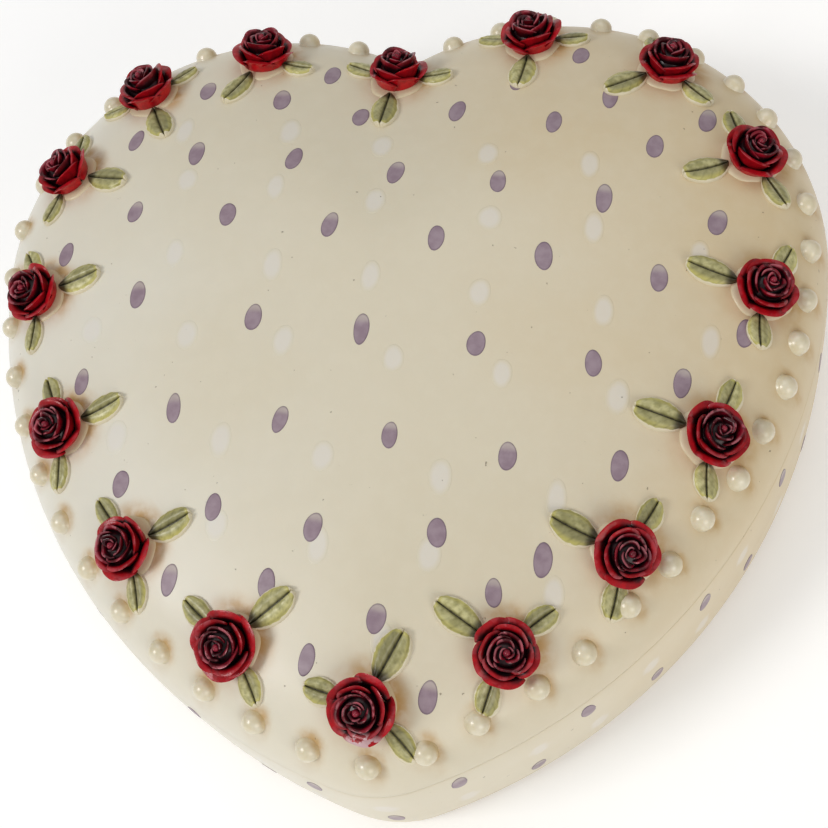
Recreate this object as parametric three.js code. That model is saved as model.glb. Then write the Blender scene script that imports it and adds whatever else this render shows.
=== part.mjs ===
// Heart-shaped trinket box: a cast bowl, a lift-off domed lid, and a trim of roses, leaves and half pearls.
// Millimetres, +Z up. The heart's tip points to -Y, and the origin is under its middle, on the table.
import * as THREE from 'three';

// Outline: a tip circle, two side arcs, two lobe circles and a small fillet at the cleft, all tangent.
const HALF_WIDTH = 60;
const TIP_Y = -57.9;
const TIP_R = 16.1;
const SIDE_R = 83;
const LOBE_R = 39.7;
const LOBE_Y = 18.2;
const CLEFT_R = 2.6;
const ARC_STEPS = [4, 6, 12, 2]; // facets on the tip, side, lobe and cleft arcs of one half

// Profile: the wall is widest at the waist, and the shoulder above it is a superellipse of the inset.
const WAIST_Z = 10.4;
const FOOT_INSET = 0.6;
const SHOULDER_RISE = 23.05;
const SHOULDER_RUN = 40;
const SHOULDER_POWER = 4.2;
const DOME_INSET = 13; // inside this ring the lid is one smooth dome
const CROWN_Z = 36.2;
const CROWN = new THREE.Vector2(0, 8);

// Shells, and the clearance that every pair of touching pieces keeps.
const GAP = 0.3;
const SEAM_Z = 19.4;
const WALL = 5;
const FLOOR = 4;
const LID_SKIN = 3.2;
const RIM_WIDTH = 2.5;
const LIP_RISE = 2.6;
const LIP_CHAMFER = 0.4;
const FOOT_CHAMFER = 0.7;
const FELT = 1.2;
const RECESS = 0.9;
const FLAT_INSET = 11; // flat faces are closed by a fan inside this ring
const CAVITY_CHAMFER = 2;

// Trim. Roses run counter-clockwise from the tip, evenly spaced but for the hand that set each one:
// its inset, how far it was slid round the ring, in millimetres, and its large leaf's turn, in degrees.
const ROSE_SETTINGS = [
  { inset: 9.7, slid: 0, turned: -28 }, { inset: 8.9, slid: -0.9, turned: 19 },
  { inset: 9.2, slid: -1.5, turned: 18 }, { inset: 8.9, slid: -2.4, turned: 8 },
  { inset: 8.8, slid: -0.5, turned: -11 }, { inset: 9.2, slid: 0.3, turned: 7 },
  { inset: 9, slid: -0.6, turned: -26 }, { inset: 8.7, slid: 0, turned: -9 },
  { inset: 8.7, slid: 0.5, turned: -12 }, { inset: 9.1, slid: 1.7, turned: -31 },
  { inset: 8.8, slid: -0.3, turned: -10 }, { inset: 9.2, slid: -2.8, turned: 9 },
  { inset: 8.9, slid: -2.8, turned: 0 }, { inset: 8.9, slid: -1.2, turned: -12 },
  { inset: 9.3, slid: -0.2, turned: -17 }, { inset: 9.5, slid: 0, turned: -20 },
];
const ROSE_R = 4.3;
const ROSE_HEIGHT = 3.6;
const LEAF_SKIN = 0.5;
const HUB_R = 3.4;
const LARGE_LEAF = { length: 10, halfWidth: 1.75 };
const SIDE_LEAF = { length: 8, halfWidth: 1.4, turn: 101 }; // one to each side of the large leaf
const PEARL_INSET = 3.1;
const PEARL_R = 1.5;
const PEARL_HEIGHT = 1.6;
const PEARLS_RIGHT = 24; // gaps between pearls from the tip to the cleft, on the right half and on the left
const PEARLS_LEFT = 22;
// The first pearls to the right of the tip, pushed out of their even row: how far along it and how far in.
const PUSHED = [[0, 0], [0, 0], [0, 0.6], [1.2, 0.7], [1.1, 0.8], [1.9, 1.5], [2.1, 1.3], [2.2, 1.6],
  [2.1, 0.7], [2.1, 0.6], [1.8, 0], [1, 0]];
const THREAD_R = 0.3;
const STRANDS = 11;

const material = (color, roughness) => new THREE.MeshStandardMaterial({ color, roughness, metalness: 0 });
const CREAM = material('#d3cab2', 0.45);
const CRIMSON = material('#9c1525', 0.25);
const SAGE = material('#8f9a68', 0.45);
const NACRE = material('#e3dabb', 0.3);
const FELT_IVORY = material('#cfc4a8', 0.95);
const FELT_BROWN = material('#7d6a55', 0.95);

// Centres of the outline's arcs, and the angles where they meet on the right half.
const tip = new THREE.Vector2(0, TIP_Y + TIP_R);
const lobe = new THREE.Vector2(HALF_WIDTH - LOBE_R, LOBE_Y);
const cleft = new THREE.Vector2(0, LOBE_Y + Math.sqrt((LOBE_R + CLEFT_R) ** 2 - lobe.x ** 2));
const side = sideCentre();
const angleOf = (from, to) => Math.atan2(to.y - from.y, to.x - from.x);
const TIP_END = angleOf(side, tip);
const SIDE_END = angleOf(side, lobe);
const LOBE_END = angleOf(lobe, cleft);

// The side arc holds the lobe circle and the tip circle, tangent to both from inside.
function sideCentre() {
  const apart = lobe.distanceTo(tip);
  const toLobe = SIDE_R - LOBE_R;
  const toTip = SIDE_R - TIP_R;
  const along = (toLobe ** 2 - toTip ** 2 + apart ** 2) / (2 * apart);
  const across = Math.sqrt(toLobe ** 2 - along ** 2);
  const line = tip.clone().sub(lobe).normalize();
  const out = new THREE.Vector2(line.y, -line.x);
  return lobe.clone().addScaledVector(line, along).addScaledVector(out, across);
}

// The right half of the outline moved in by inset, from the tip to the cleft, counter-clockwise.
function rightArcs(inset) {
  const arc = (c, r, from, to, clockwise) => new THREE.EllipseCurve(c.x, c.y, r, r, from, to, clockwise);
  return [
    arc(tip, TIP_R - inset, -Math.PI / 2, TIP_END, false),
    arc(side, SIDE_R - inset, TIP_END, SIDE_END, false),
    arc(lobe, LOBE_R - inset, SIDE_END, LOBE_END, false),
    arc(cleft, CLEFT_R + inset, LOBE_END - Math.PI, -Math.PI / 2, true),
  ];
}

// A whole ring at an inset and a height, counter-clockwise from the tip.
function ring(inset, z) {
  const arcs = rightArcs(inset);
  const right = arcs.flatMap((arc, i) => arc.getPoints(ARC_STEPS[i]).slice(0, -1));
  const last = new THREE.Vector2(0, cleft.y - CLEFT_R - inset);
  const left = right.slice(1).reverse().map((p) => new THREE.Vector2(-p.x, p.y));
  return [...right, last, ...left].map((p) => new THREE.Vector3(p.x, p.y, z));
}

function rightHalf(inset) {
  const half = new THREE.CurvePath();
  rightArcs(inset).forEach((arc) => half.add(arc));
  return half;
}

const ringLength = (inset) => 2 * rightHalf(inset).getLength();

// The point of the inset outline at a share of its length, 0 at the tip and 0.5 at the cleft.
function along(inset, share) {
  const turn = (share + 1) % 1;
  const right = turn <= 0.5;
  const p = rightHalf(inset).getPointAt(right ? 2 * turn : 2 - 2 * turn);
  return new THREE.Vector2(right ? p.x : -p.x, p.y);
}

// How far a point lies inside the outline.
function insetOf(x, y) {
  const p = new THREE.Vector2(Math.abs(x), y);
  const between = (angle, low, high) => angle >= low && angle <= high;
  const reaches = [LOBE_R - p.distanceTo(lobe)];
  if (between(angleOf(tip, p), -Math.PI / 2, TIP_END)) reaches.push(TIP_R - p.distanceTo(tip));
  if (between(angleOf(side, p), TIP_END, SIDE_END)) reaches.push(SIDE_R - p.distanceTo(side));
  if (between(angleOf(cleft, p), -Math.PI / 2, LOBE_END - Math.PI)) {
    reaches.push(p.distanceTo(cleft) - CLEFT_R);
  }
  const inLobe = between(angleOf(lobe, p), SIDE_END, LOBE_END);
  return inLobe || reaches.length === 1 ? Math.min(...reaches) : Math.min(...reaches.slice(1));
}

const shoulder = (inset) => {
  const run = 1 - (1 - inset / SHOULDER_RUN) ** 2;
  return WAIST_Z + SHOULDER_RISE * run ** (1 / SHOULDER_POWER);
};
const wallInset = (z) => {
  if (z < WAIST_Z) return FOOT_INSET * ((WAIST_Z - z) / WAIST_Z) ** 3;
  return SHOULDER_RUN * (1 - Math.sqrt(1 - ((z - WAIST_Z) / SHOULDER_RISE) ** SHOULDER_POWER));
};

// Height of the lid's outer face over a point of the plan.
function lidTop(x, y) {
  const inset = insetOf(x, y);
  if (inset <= DOME_INSET) return shoulder(inset);
  const ray = new THREE.Vector2(x, y).sub(CROWN);
  const distance = Math.max(ray.length(), 1e-6);
  ray.divideScalar(distance);
  const insetAt = (reach) => insetOf(CROWN.x + reach * ray.x, CROWN.y + reach * ray.y);
  let [near, far] = [distance, 2 * HALF_WIDTH];
  for (let i = 0; i < 40; i += 1) {
    const middle = (near + far) / 2;
    if (insetAt(middle) > DOME_INSET) near = middle;
    else far = middle;
  }
  const step = 0.05;
  const fall = (shoulder(DOME_INSET + step) - shoulder(DOME_INSET - step)) / (2 * step);
  const slope = fall * (insetAt(near - step) - insetAt(near + step)) / (2 * step);
  const t = 1 - distance / near;
  const start = shoulder(DOME_INSET);
  return start + (CROWN_Z - start) * (3 - 2 * t) * t * t + near * slope * t * (1 - t) ** 2;
}

const middle = (ring) => ring.reduce((sum, p) => sum.add(p), new THREE.Vector3()).divideScalar(ring.length);

// A closed skin over rings of points that run up the outside, with a fan over each end round its hub.
function skin(rings, hubs = [middle(rings[0]), middle(rings.at(-1))]) {
  const n = rings[0].length;
  const points = [...rings.flat(), ...hubs];
  const [bottom, top] = [points.length - 2, points.length - 1];
  const lastRing = (rings.length - 1) * n;
  const index = [];
  for (let i = 0; i < n; i += 1) {
    const j = (i + 1) % n;
    index.push(j, i, bottom, lastRing + i, lastRing + j, top);
    for (let low = 0; low < lastRing; low += n) {
      index.push(low + i, low + j, low + n + j, low + i, low + n + j, low + n + i);
    }
  }
  const geometry = new THREE.BufferGeometry().setFromPoints(points);
  geometry.setIndex(index);
  geometry.computeVertexNormals();
  return geometry;
}

// Rings of the dome, from its edge to near the crown, lowered by drop.
function domeRings(drop) {
  return [0, 0.22, 0.44, 0.66, 0.86].map((share) => ring(DOME_INSET, 0).map((p) => {
    const flat = new THREE.Vector2(p.x, p.y).lerp(CROWN, share);
    const z = share === 0 ? shoulder(DOME_INSET) : lidTop(flat.x, flat.y);
    return new THREE.Vector3(flat.x, flat.y, z - drop);
  }));
}

const wallRings = (heights) => heights.map((z) => ring(wallInset(z), z));
const shoulderRings = (insets, drop) => insets.map((inset) => ring(inset, shoulder(inset) - drop));

// The bowl: a recess below for the foot felt, and an upstanding lip that the lid drops over.
function bowl() {
  const foot = FELT - RECESS + GAP;
  const rimZ = SEAM_Z - GAP / 2;
  const lipInset = wallInset(SEAM_Z) + RIM_WIDTH + GAP;
  return skin([
    ring(FLAT_INSET, foot + RECESS),
    ring(WALL, foot + RECESS),
    ring(WALL, foot),
    ring(FOOT_INSET + FOOT_CHAMFER, foot),
    ...wallRings([foot + FOOT_CHAMFER, 4, 7.2, WAIST_Z, 14, 17]),
    ring(wallInset(rimZ), rimZ),
    ring(lipInset, rimZ),
    ring(lipInset, rimZ + LIP_RISE - LIP_CHAMFER),
    ring(lipInset + LIP_CHAMFER, rimZ + LIP_RISE),
    ring(WALL, rimZ + LIP_RISE),
    ring(WALL, foot + FLOOR + CAVITY_CHAMFER),
    ring(WALL + CAVITY_CHAMFER, foot + FLOOR),
    ring(FLAT_INSET, foot + FLOOR),
  ]);
}

// The lid: a plain rim that rests on the bowl, a round shoulder and the dome.
function lid() {
  const rimZ = SEAM_Z + GAP / 2;
  const rimInset = wallInset(SEAM_Z) + RIM_WIDTH;
  return skin([
    ...domeRings(LID_SKIN).reverse(),
    ...shoulderRings([9, 5.5], LID_SKIN),
    ring(rimInset, shoulder(rimInset) - LID_SKIN),
    ring(rimInset, rimZ),
    ring(wallInset(rimZ), rimZ),
    ...shoulderRings([0.8, 1.5, 2.6, 4.2, 6.6, 9.4], 0),
    ...domeRings(0),
  ]);
}

// A flat felt cut to the heart.
function felt(inset, z) {
  return skin([ring(FLAT_INSET, z), ring(inset, z), ring(inset, z + FELT), ring(FLAT_INSET, z + FELT)]);
}

// A rose with five outer petals round an open throat and a bud, on its own +Z axis.
function rose() {
  const profile = [[0.5, 0], [0.74, 0], [0.9, 0.25], [1, 0.62], [0.9, 0.92], [0.62, 0.8], [0.36, 1]];
  const around = 15;
  return skin(profile.map(([radius, height]) => Array.from({ length: around }, (_, i) => {
    const angle = (2 * Math.PI * i) / around;
    const r = ROSE_R * radius * (0.96 + 0.04 * Math.cos(5 * angle));
    return new THREE.Vector3(r * Math.cos(angle), r * Math.sin(angle), ROSE_HEIGHT * height);
  })));
}

// Outline of a leaf spray round its rose: [distance, angle in radians] by rising angle from the large leaf.
function sprayOutline() {
  const leaf = (turn, { length, halfWidth }) => {
    const half = [[HUB_R + 0.2, 0.9 * halfWidth], [0.62 * length, halfWidth], [length, 0]];
    const edge = [...half.map(([d, w]) => [d, -w]), ...half.slice(0, 2)];
    return edge.map(([d, w]) => [Math.hypot(d, w), THREE.MathUtils.degToRad(turn) + Math.atan2(w, d)]);
  };
  const { turn } = SIDE_LEAF;
  const hub = [turn / 2, -turn / 2, 90 + turn / 2, -90 - turn / 2, 180];
  const bare = hub.map((angle) => [HUB_R, THREE.MathUtils.degToRad(angle)]);
  const leaves = [leaf(0, LARGE_LEAF), leaf(turn, SIDE_LEAF), leaf(-turn, SIDE_LEAF)];
  return [...leaves.flat(), ...bare].sort((a, b) => a[1] - b[1]);
}

// A spray of leaves laid on the lid round a rose's seat.
function spray(seat, turned) {
  const uphill = lidNormal(seat).negate();
  const large = Math.atan2(uphill.y, uphill.x) + THREE.MathUtils.degToRad(turned);
  const outline = sprayOutline();
  const laid = (share, lift) => outline.map(([distance, angle]) => {
    const x = seat.x + share * distance * Math.cos(large + angle);
    const y = seat.y + share * distance * Math.sin(large + angle);
    return new THREE.Vector3(x, y, lidTop(x, y) + lift);
  });
  const rings = [laid(0.55, GAP), laid(1, GAP), laid(1, GAP + LEAF_SKIN), laid(0.55, GAP + LEAF_SKIN)];
  const hub = (lift) => new THREE.Vector3(seat.x, seat.y, lidTop(seat.x, seat.y) + lift);
  return skin(rings, [hub(GAP), hub(GAP + LEAF_SKIN)]);
}

// The lid's outward normal over a point of the plan.
function lidNormal(p) {
  const step = 0.2;
  const rise = (dx, dy) => (lidTop(p.x + dx, p.y + dy) - lidTop(p.x - dx, p.y - dy)) / (2 * step);
  return new THREE.Vector3(-rise(step, 0), -rise(0, step), 1).normalize();
}

// Where a pearl sits, as a share of its ring.
function pearlShare(k) {
  return k <= PEARLS_RIGHT ? k / (2 * PEARLS_RIGHT) : 0.5 + (k - PEARLS_RIGHT) / (2 * PEARLS_LEFT);
}

// Half pearls in a row on the shoulder, with the thin bridge of paste between them.
function strand(first, end) {
  const reach = PEARL_R / ringLength(PEARL_INSET);
  const sections = [];
  const section = (inset, share, radius, height) => {
    const foot = along(inset, share);
    const seat = new THREE.Vector3(foot.x, foot.y, lidTop(foot.x, foot.y));
    const up = lidNormal(foot);
    const ahead = along(inset, share + reach / 4).sub(along(inset, share - reach / 4));
    const across = new THREE.Vector3(ahead.x, ahead.y, 0).cross(up).normalize();
    sections.push([[-1, 0], [-0.72, 0.72], [0, 1], [0.72, 0.72], [1, 0]].map(([w, h]) => seat.clone()
      .addScaledVector(across, w * radius)
      .addScaledVector(up, GAP + h * height)));
  };
  for (let k = first; k < end; k += 1) {
    const [slid, tucked] = PUSHED[k] ?? [0, 0];
    const inset = PEARL_INSET + tucked;
    const centre = pearlShare(k) + slid / ringLength(PEARL_INSET);
    section(inset, centre - reach, THREAD_R, THREAD_R);
    section(inset, centre - 0.6 * reach, 0.8 * PEARL_R, 0.8 * PEARL_HEIGHT);
    section(inset, centre, PEARL_R, PEARL_HEIGHT);
    section(inset, centre + 0.6 * reach, 0.8 * PEARL_R, 0.8 * PEARL_HEIGHT);
    section(inset, centre + reach, THREAD_R, THREAD_R);
  }
  return skin(sections);
}

const box = new THREE.Group();
const add = (name, geometry, look) => {
  const mesh = new THREE.Mesh(geometry, look);
  mesh.name = name;
  box.add(mesh);
  return mesh;
};
const numbered = (name, i) => `${name}_${String(i + 1).padStart(2, '0')}`;

add('base_shell', bowl(), CREAM);
add('foot_felt', felt(WALL + GAP, 0), FELT_BROWN);
add('base_felt', felt(WALL + CAVITY_CHAMFER + GAP, FELT - RECESS + 2 * GAP + FLOOR), FELT_IVORY);
add('lid_shell', lid(), CREAM);

ROSE_SETTINGS.forEach(({ inset, slid, turned }, i) => {
  const seat = along(inset, i / ROSE_SETTINGS.length + slid / ringLength(inset));
  const up = lidNormal(seat);
  const flower = add(numbered('rose', i), rose(), CRIMSON);
  flower.position.set(seat.x, seat.y, lidTop(seat.x, seat.y)).addScaledVector(up, 2 * GAP + LEAF_SKIN);
  flower.quaternion.setFromUnitVectors(new THREE.Vector3(0, 0, 1), up);
  add(numbered('rose_leaves', i), spray(seat, turned), SAGE);
});

const strandStart = (i) => Math.round((i * (PEARLS_RIGHT + PEARLS_LEFT)) / STRANDS);
for (let i = 0; i < STRANDS; i += 1) {
  add(numbered('pearl_strand', i), strand(strandStart(i), strandStart(i + 1)), NACRE);
}

export default box;
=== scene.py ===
"""Heart-shaped trinket box: cream cast resin, painted dots, and a trim of roses, leaves and half pearls.

Lengths are in millimetres until a mesh is made. Angles are in radians, but in degrees in the settings just
below, for the camera and inside radians(). The heart's tip points to -Y, as in the CAD.
"""

import math

import bmesh
import bpy
import numpy as np
from mathutils import Matrix, Vector


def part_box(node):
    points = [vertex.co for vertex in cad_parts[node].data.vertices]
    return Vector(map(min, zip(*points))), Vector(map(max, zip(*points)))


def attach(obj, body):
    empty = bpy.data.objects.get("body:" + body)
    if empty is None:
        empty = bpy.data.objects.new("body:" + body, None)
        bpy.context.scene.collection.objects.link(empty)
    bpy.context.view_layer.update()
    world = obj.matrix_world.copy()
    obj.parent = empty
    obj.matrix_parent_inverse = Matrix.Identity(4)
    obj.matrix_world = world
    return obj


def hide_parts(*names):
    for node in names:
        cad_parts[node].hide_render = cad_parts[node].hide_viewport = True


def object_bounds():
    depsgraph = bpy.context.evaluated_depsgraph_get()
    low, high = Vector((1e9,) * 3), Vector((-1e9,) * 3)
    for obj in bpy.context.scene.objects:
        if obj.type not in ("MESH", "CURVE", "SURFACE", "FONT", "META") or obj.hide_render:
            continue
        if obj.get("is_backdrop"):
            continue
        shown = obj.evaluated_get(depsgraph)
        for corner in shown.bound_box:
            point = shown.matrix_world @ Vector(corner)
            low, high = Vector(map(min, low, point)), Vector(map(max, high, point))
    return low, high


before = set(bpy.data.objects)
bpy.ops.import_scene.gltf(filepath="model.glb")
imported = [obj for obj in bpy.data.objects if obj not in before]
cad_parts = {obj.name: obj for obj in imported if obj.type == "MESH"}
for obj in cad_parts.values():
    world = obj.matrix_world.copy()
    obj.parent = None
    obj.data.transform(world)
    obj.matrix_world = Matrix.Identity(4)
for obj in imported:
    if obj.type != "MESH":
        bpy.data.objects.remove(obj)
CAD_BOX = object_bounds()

MM = 0.001

# The heart's outline and profile, as the CAD draws them.
HALF_WIDTH = 60.0
TIP_Y = -57.9
TIP_R = 16.1
SIDE_R = 83.0
LOBE_R = 39.7
LOBE_Y = 18.2
CLEFT_R = 2.6
WAIST_Z = 10.4
FOOT_INSET = 0.6
SHOULDER_RISE = 23.05
SHOULDER_RUN = 40.0
SHOULDER_POWER = 4.2
DOME_INSET = 13.0
CROWN_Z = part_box("lid_shell")[1][2] / MM
CROWN = np.array([0.0, 8.0])
SEAM_Z = 19.4
SEAM_GAP = 0.03  # a hair line, narrower than the CAD's
RIM_WIDTH = 2.5
LID_SKIN = 3.2
WALL = 5.0
FOOT_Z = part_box("base_shell")[0][2] / MM
FLOOR_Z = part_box("base_felt")[0][2] / MM - 0.05
LIP_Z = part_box("base_shell")[1][2] / MM
FELT = 1.2

# Roses counter-clockwise from the tip: each one's inset, how far it was slid round the ring, and how far its
# large leaf was turned, in degrees.
ROSE_SETTINGS = [
    (9.7, 0, -28), (8.9, -0.9, 19), (9.2, -1.5, 18), (8.9, -2.4, 8), (8.8, -0.5, -11), (9.2, 0.3, 7),
    (9, -0.6, -26), (8.7, 0, -9), (8.7, 0.5, -12), (9.1, 1.7, -31), (8.8, -0.3, -10), (9.2, -2.8, 9),
    (8.9, -2.8, 0), (8.9, -1.2, -12), (9.3, -0.2, -17), (9.5, 0, -20),
]
CHIPPED_ROSE = 0
# Leaves: length and half width. Two side leaves lie to either side of each large one, and each leaf starts at
# LEAF_ROOT from the rose's middle.
LARGE_LEAF = (10.1, 2.15)
SIDE_LEAF = (8.4, 1.8)
SIDE_LEAF_TURN = 101
LEAF_ROOT = 3.2
PEARL_INSET = 3.1
PEARL_R = 1.55
PEARLS_RIGHT = 24
PEARLS_LEFT = 22
# The first pearls to the right of the tip, pushed out of their even row: how far along it and how far in.
PUSHED = [
    (0, 0), (0, 0), (0, 0.6), (1.2, 0.7), (1.1, 0.8), (1.9, 1.5),
    (2.1, 1.3), (2.2, 1.6), (2.1, 0.7), (2.1, 0.6), (1.8, 0), (1, 0),
]
STRANDS = 11

# Lavender dots on the lid, row by row: first dot's x and y, how many, and the step to the next.
DOT_ROWS = [
    (-28.7, 43, 1, 0, 0), (-17, 40.2, 1, 0, 0), (-10, 45, 1, 0, 0), (-4.7, 36.2, 1, 0, 0), (26, 46, 1, 0, 0),
    (17.5, 41.2, 3, 13.1, -3.7), (8.7, 36, 3, 14, -3.6), (-38.6, 35.2, 1, 0, 0), (-28, 30.7, 6, 14.5, -2.7),
    (-47, 17, 1, 0, 0), (-36.7, 21.9, 6, 14.7, -2.8), (-34.4, 8.2, 1, 0, 0), (-16.7, 3.1, 4, 14.9, -2.5),
    (47.7, 1.2, 1, 0, 0), (39.4, -6.1, 1, 0, 0), (-42, -3.4, 1, 0, 0), (-27.4, -8.8, 4, 14.9, -2.8),
    (31.7, -17.9, 1, 0, 0), (-34.9, -18.9, 3, 14, -3.8), (8.8, -26.9, 2, 12.9, -3.2),
    (-26.8, -31.7, 2, 13.8, -1.3), (1.7, -38, 1, 0, 0), (15.9, -34.3, 1, 0, 0), (-7.4, -42.7, 2, 15.5, -4.1),
]
# White spots between the lavender ones, in the same form.
WHITE_ROWS = [
    (-30, 36, 5, 14.4, -2.8), (-44, 28, 7, 14.5, -2.7), (-30, 14, 6, 14.7, -2.8), (-42, 4, 6, 14.7, -2.7),
    (-35, -12, 5, 14.6, -2.8), (-20, -25, 4, 14.2, -2.8), (-12, -38, 2, 14, -2.8),
]
DOT_LENGTH = 4.0
DOT_WIDTH = 2.3
DOT_LEAN = 8
WHITE_LENGTH = 4.6
WHITE_WIDTH = 3.0
WALL_DOTS = 38  # round the bowl, high and low by turns, with as many white ones between
WALL_DOT_LENGTH = 3.7
WALL_DOT_WIDTH = 2.2
WASH_AND_SHADOW_SIDE = np.array([0.8, 0.6])  # the side of each raised piece, away from the key light, where the brown wash gathers and painted shadow falls


# ---- The heart as a surface ----

def centres():
    """Centres of the tip, side, lobe and cleft arcs of the right half."""
    tip = np.array([0.0, TIP_Y + TIP_R])
    lobe = np.array([HALF_WIDTH - LOBE_R, LOBE_Y])
    cleft = np.array([0.0, LOBE_Y + math.sqrt((LOBE_R + CLEFT_R) ** 2 - lobe[0] ** 2)])
    line = tip - lobe
    apart = np.linalg.norm(line)
    line /= apart
    to_lobe, to_tip = SIDE_R - LOBE_R, SIDE_R - TIP_R
    ahead = (to_lobe ** 2 - to_tip ** 2 + apart ** 2) / (2 * apart)
    across = math.sqrt(to_lobe ** 2 - ahead ** 2)
    side = lobe + ahead * line + across * np.array([line[1], -line[0]])
    return tip, side, lobe, cleft


TIP, SIDE, LOBE, CLEFT = centres()


def angle_of(start, end):
    return np.arctan2(end[..., 1] - start[..., 1], end[..., 0] - start[..., 0])


TIP_END = angle_of(SIDE, TIP)
SIDE_END = angle_of(SIDE, LOBE)
LOBE_END = angle_of(LOBE, CLEFT)


def smoothstep(low, high, x):
    t = np.clip((x - low) / (high - low), 0, 1)
    return t * t * (3 - 2 * t)


class Outline:
    """The heart's outline as evenly spaced points with outward normals, counter-clockwise from the tip."""

    def __init__(self, count, even_at=0.0):
        arcs = [
            (TIP, TIP_R, 1, -math.pi / 2, TIP_END), (SIDE, SIDE_R, 1, TIP_END, SIDE_END),
            (LOBE, LOBE_R, 1, SIDE_END, LOBE_END), (CLEFT, CLEFT_R, -1, LOBE_END - math.pi, -math.pi / 2),
        ]
        lengths = [abs(end - start) * (r - bulge * even_at) for _, r, bulge, start, end in arcs]
        ends = np.cumsum(lengths)
        self.half_length = ends[-1]
        share = np.arange(count) / count
        right = share <= 0.5
        at = np.where(right, 2 * share, 2 - 2 * share) * self.half_length
        which = np.minimum(np.searchsorted(ends, at), 3)
        pick = lambda k: np.array([arc[k] for arc in arcs])[which]
        start, end = pick(3), pick(4)
        angle = start + (end - start) * (at - (ends - lengths)[which]) / np.array(lengths)[which]
        mirror = np.where(right, 1, -1)
        self.out = np.c_[mirror * np.cos(angle), np.sin(angle)]
        self.centre = pick(0) * np.c_[mirror, np.ones(count)]
        self.radius, self.bulge, self.share = pick(1), pick(2), share

    def ring(self, inset):
        """Points moved in by inset, one number or one for each point."""
        return self.centre + self.out * (self.radius - self.bulge * inset)[:, None]

    def normals(self):
        return self.out * self.bulge[:, None]


def inset_of(x, y):
    """How far points of the plan lie inside the outline."""
    p = np.stack([np.abs(x), np.asarray(y, float)], -1)
    reach = lambda centre: np.linalg.norm(p - centre, axis=-1)

    def where(centre, low, high, value):
        angle = angle_of(np.broadcast_to(centre, p.shape), p)
        return np.where((angle >= low) & (angle <= high), value, np.inf)

    inset = np.minimum.reduce([
        where(TIP, -math.pi / 2, TIP_END, TIP_R - reach(TIP)),
        where(SIDE, TIP_END, SIDE_END, SIDE_R - reach(SIDE)),
        where(LOBE, SIDE_END, LOBE_END, LOBE_R - reach(LOBE)),
        where(CLEFT, -math.pi / 2, LOBE_END - math.pi, reach(CLEFT) - CLEFT_R),
    ])
    return np.where(np.isinf(inset), LOBE_R - reach(LOBE), inset)


def shoulder(inset):
    run = np.clip(1 - (1 - np.clip(inset, 0, None) / SHOULDER_RUN) ** 2, 0, None)
    return WAIST_Z + SHOULDER_RISE * run ** (1 / SHOULDER_POWER)


def wall_inset(z):
    z = np.asarray(z, float)
    above = np.clip((z - WAIST_Z) / SHOULDER_RISE, 0, 1)
    below = np.clip((WAIST_Z - z) / WAIST_Z, 0, None)
    return SHOULDER_RUN * (1 - np.sqrt(1 - above ** SHOULDER_POWER)) + FOOT_INSET * below ** 3


def dome_height(x, y):
    """The CAD's lid top: the shoulder near the rim, and a dome that meets it smoothly inside."""
    ray = np.stack([x - CROWN[0], y - CROWN[1]], -1)
    distance = np.maximum(np.linalg.norm(ray, axis=-1), 1e-6)
    ray = ray / distance[..., None]
    inset_at = lambda reach: inset_of(CROWN[0] + reach * ray[..., 0], CROWN[1] + reach * ray[..., 1])
    near, far = np.minimum(distance, 2 * HALF_WIDTH), np.full_like(distance, 2 * HALF_WIDTH)
    for _ in range(30):
        middle = (near + far) / 2
        inside = inset_at(middle) > DOME_INSET
        near, far = np.where(inside, middle, near), np.where(inside, far, middle)
    step = 0.05
    fall = (shoulder(DOME_INSET + step) - shoulder(DOME_INSET - step)) / (2 * step)
    slope = fall * (inset_at(near - step) - inset_at(near + step)) / (2 * step)
    t = 1 - distance / near
    start = shoulder(DOME_INSET)
    dome = start + (CROWN_Z - start) * (3 - 2 * t) * t * t + near * slope * t * (1 - t) ** 2
    inset = inset_of(x, y)
    return np.where(inset <= DOME_INSET, shoulder(inset), dome)


class LidTop:
    """Height of the lid's face over the plan, with the dome's creases cast soft."""

    STEP = 0.75
    SOFT = 2.6
    SOFTENED = (9, 15)  # insets between which the soft face takes over from the exact one

    def __init__(self):
        self.low = np.array([-HALF_WIDTH - 3, TIP_Y - 3])
        count = np.ceil((2 * HALF_WIDTH + 6) / self.STEP).astype(int)
        axis = np.arange(count) * self.STEP
        x, y = np.meshgrid(self.low[0] + axis, self.low[1] + axis, indexing="ij")
        height = dome_height(x, y)
        reach = np.arange(-9, 10) * self.STEP
        kernel = np.exp(-0.5 * (reach / self.SOFT) ** 2)
        kernel /= kernel.sum()
        for side in (0, 1):
            height = np.apply_along_axis(lambda line: np.convolve(line, kernel, mode="same"), side, height)
        self.soft = height

    def __call__(self, x, y):
        x, y = np.asarray(x, float), np.asarray(y, float)
        grid = [(np.clip(x, -HALF_WIDTH, HALF_WIDTH) - self.low[0]) / self.STEP,
                (np.clip(y, TIP_Y, HALF_WIDTH) - self.low[1]) / self.STEP]
        i, j = (np.floor(g).astype(int) for g in grid)
        u, v = grid[0] - i, grid[1] - j
        soft = ((1 - u) * (1 - v) * self.soft[i, j] + u * (1 - v) * self.soft[i + 1, j]
                + (1 - u) * v * self.soft[i, j + 1] + u * v * self.soft[i + 1, j + 1])
        blend = smoothstep(*self.SOFTENED, inset_of(x, y))
        return (1 - blend) * dome_height(x, y) + blend * soft

    def normal(self, point):
        step = 0.2
        x, y = point
        across = self(x + step, y) - self(x - step, y)
        along = self(x, y + step) - self(x, y - step)
        up = np.array([-float(across), -float(along), 2 * step])
        return up / np.linalg.norm(up)


lid_top = LidTop()


SEAT_STEPS = 3200


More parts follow.
